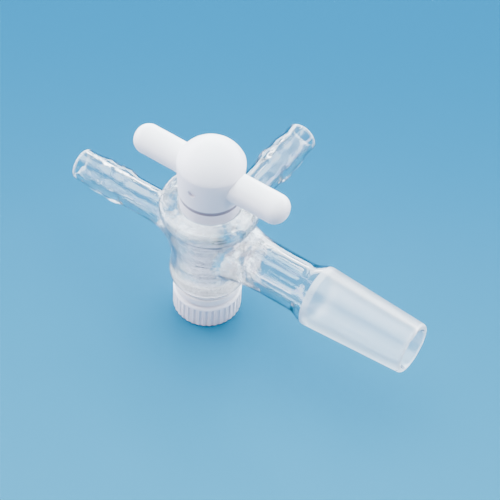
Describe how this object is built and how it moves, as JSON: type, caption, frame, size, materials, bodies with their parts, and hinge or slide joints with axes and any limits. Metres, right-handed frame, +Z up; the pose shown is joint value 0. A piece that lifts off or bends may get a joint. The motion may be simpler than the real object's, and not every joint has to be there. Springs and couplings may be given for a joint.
{
  "type": "glass stopcock",
  "caption": "Three-way laboratory stopcock: glass barrel with two hose arms and a ground male cone, white plug turned by a bar and held by a ribbed nut.",
  "frame": {"origin": "on the plug's axis at the nut's lower face, which the stopcock stands on", "axes": "+Z up along the plug's axis, +X along the ground cone's arm, +Y along the side hose arm"},
  "size_m": [0.0949, 0.0515, 0.0558],
  "materials": {
    "clear_glass": "clear blown borosilicate glass, frosted on the ground cone",
    "plug_white": "white PTFE, finely turned",
    "bar_white": "smooth white PTFE",
    "washer_white": "smooth white PTFE",
    "ring_rubber": "translucent silicone rubber",
    "nut_white": "moulded white plastic with fine ribs"
  },
  "bodies": {
    "glass": {"glass_body": "clear_glass"},
    "plug": {"plug": "plug_white", "handle_bar": "bar_white"},
    "washers": {"thrust_washer": "washer_white", "o_ring": "ring_rubber", "backing_washer": "washer_white"},
    "nut": {"nut": "nut_white"}
  },
  "joints": [
    {"name": "plug_turn", "type": "hinge", "parent": "glass", "child": "plug", "pos_m": [0, 0, 0.0249], "axis": [0, 0, 1], "continuous": true},
    {"name": "washers_drop", "type": "slide", "parent": "plug", "child": "washers", "axis": [0, 0, -1], "range_m": [0, 0.0025]},
    {"name": "nut_turn", "type": "hinge", "parent": "washers", "child": "nut", "pos_m": [0, 0, 0.003], "axis": [0, 0, -1], "range_deg": [0, 720]}
  ],
  "couplings": [
    {"joint": "nut_turn", "follows": "washers_drop", "rad_per_m": 5026.5}
  ]
}
